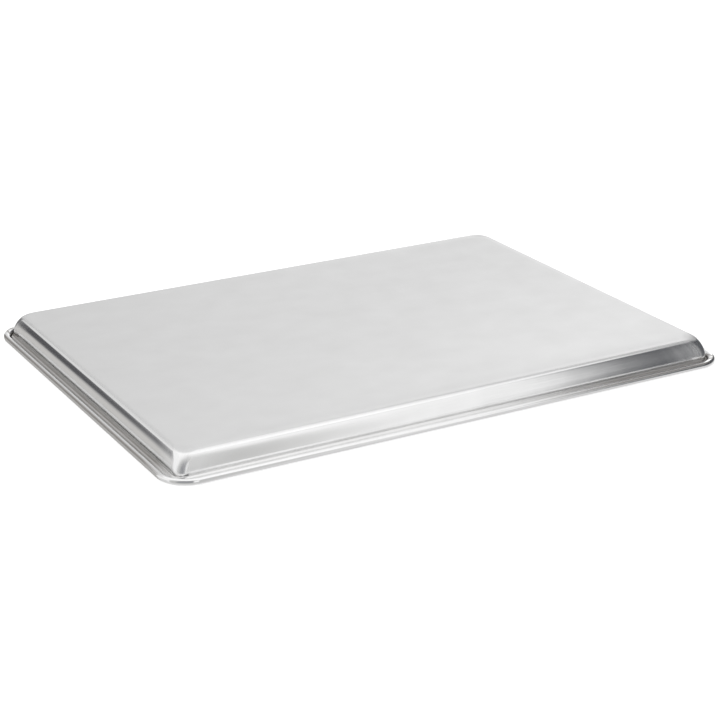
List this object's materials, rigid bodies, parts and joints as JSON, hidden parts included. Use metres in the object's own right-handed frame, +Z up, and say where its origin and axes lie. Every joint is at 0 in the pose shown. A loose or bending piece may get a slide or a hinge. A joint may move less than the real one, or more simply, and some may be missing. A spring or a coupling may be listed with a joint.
{
  "type": "sheet pan",
  "caption": "Rectangular commercial sheet pan lying upside down: flat base, low bowed walls with rounded corners, and a flange ending in a rim rolled over a stiffening wire.",
  "frame": {"origin": "centre of the outline in the plane that the rim's edge rests on; the pan is stored upside down, as pictured, and is turned over for use", "axes": "+X along the long sides, +Y along the short sides, +Z up, out of the base's outside face; in use -Z looks up, out of the tray's mouth"},
  "size_m": [0.6604, 0.4572, 0.0264],
  "materials": {
    "pan_sheet": "satin pressed aluminium, bright and finely brushed along the walls and the rim",
    "rim_wire": "dull galvanised steel wire"
  },
  "bodies": {
    "root": {"pan_sheet": "pan_sheet", "rim_wire": "rim_wire"}
  },
  "joints": []
}
